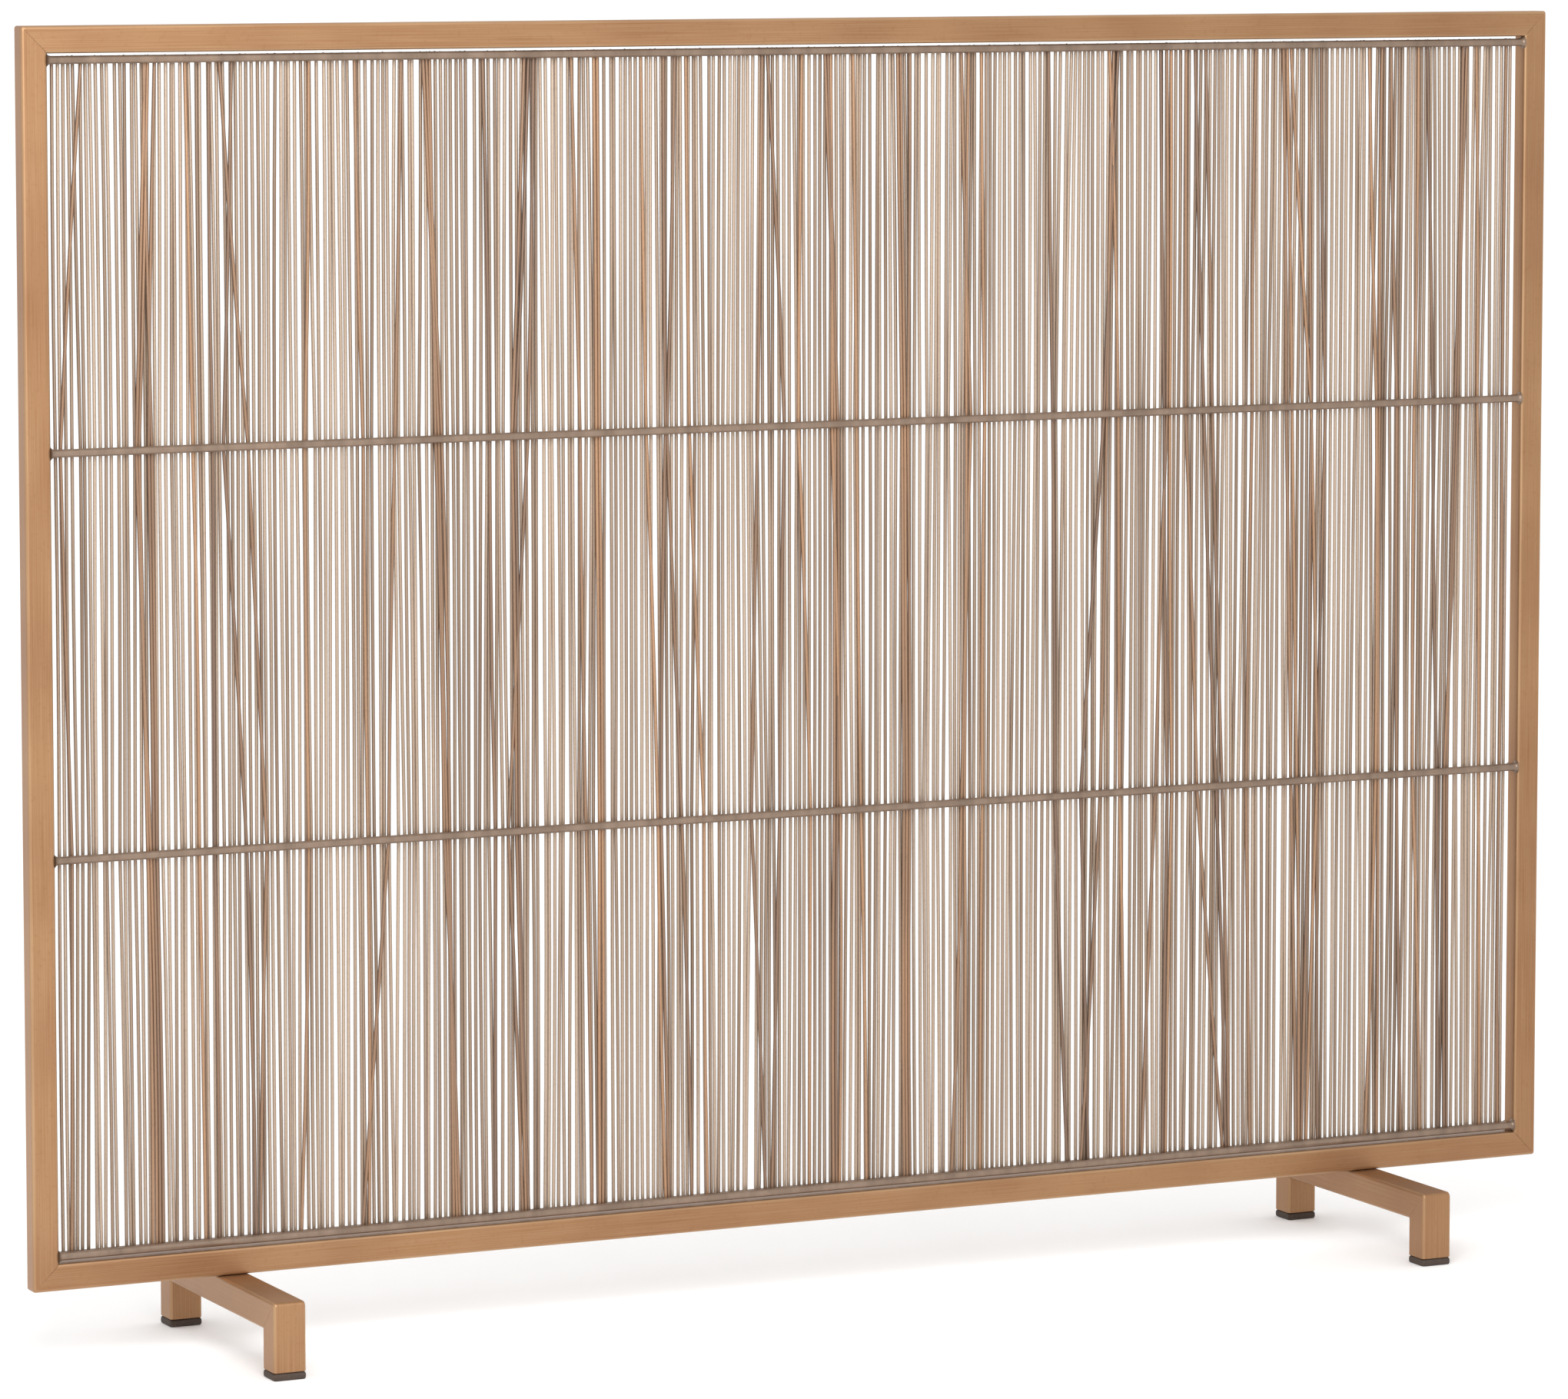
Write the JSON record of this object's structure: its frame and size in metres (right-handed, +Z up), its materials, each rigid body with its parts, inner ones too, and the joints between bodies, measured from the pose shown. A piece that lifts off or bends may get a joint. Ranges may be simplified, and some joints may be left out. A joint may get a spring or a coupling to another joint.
{
  "type": "fireplace screen",
  "caption": "Free-standing single-panel fireplace screen: mitred tube frame, round cross rods, a dense field of upright wires with loose bunches, and two bridge-shaped feet.",
  "frame": {"origin": "on the floor, under the middle of the screen", "axes": "+X along the screen to the right seen from the front, +Y towards the fire, +Z up"},
  "size_m": [0.965, 0.176, 0.7376],
  "materials": {
    "frame_finish": "satin antique brass, lightly brushed",
    "rod_finish": "satin antique brass, darker",
    "wire_finish": "satin antique brass on drawn wire",
    "pad_rubber": "matt",
    "fastener_zinc": "zinc plated"
  },
  "bodies": {
    "root": {"top_rail": "frame_finish", "bottom_rail": "frame_finish", "left_stile": "frame_finish", "right_stile": "frame_finish", "top_rod": "rod_finish", "top_back_rod": "rod_finish", "upper_rod": "rod_finish", "upper_back_rod": "rod_finish", "lower_rod": "rod_finish", "lower_back_rod": "rod_finish", "bottom_rod": "rod_finish", "bottom_back_rod": "rod_finish", "rear_wires_1": "wire_finish", "rear_wires_2": "wire_finish", "rear_wires_3": "wire_finish", "rear_wires_4": "wire_finish", "rear_wires_5": "wire_finish", "rear_wires_6": "wire_finish", "rear_wires_7": "wire_finish", "rear_wires_8": "wire_finish", "front_wires_1": "wire_finish", "front_wires_2": "wire_finish", "front_wires_3": "wire_finish", "front_wires_4": "wire_finish", "front_wires_5": "wire_finish", "front_wires_6": "wire_finish", "front_wires_7": "wire_finish", "front_wires_8": "wire_finish", "left_foot_arm": "frame_finish", "left_foot_front_leg": "frame_finish", "left_foot_front_pad": "pad_rubber", "left_foot_back_leg": "frame_finish", "left_foot_back_pad": "pad_rubber", "left_foot_screw_1": "fastener_zinc", "left_foot_nut_1": "fastener_zinc", "left_foot_screw_2": "fastener_zinc", "left_foot_nut_2": "fastener_zinc", "right_foot_arm": "frame_finish", "right_foot_front_leg": "frame_finish", "right_foot_front_pad": "pad_rubber", "right_foot_back_leg": "frame_finish", "right_foot_back_pad": "pad_rubber", "right_foot_screw_1": "fastener_zinc", "right_foot_nut_1": "fastener_zinc", "right_foot_screw_2": "fastener_zinc", "right_foot_nut_2": "fastener_zinc"}
  },
  "joints": []
}
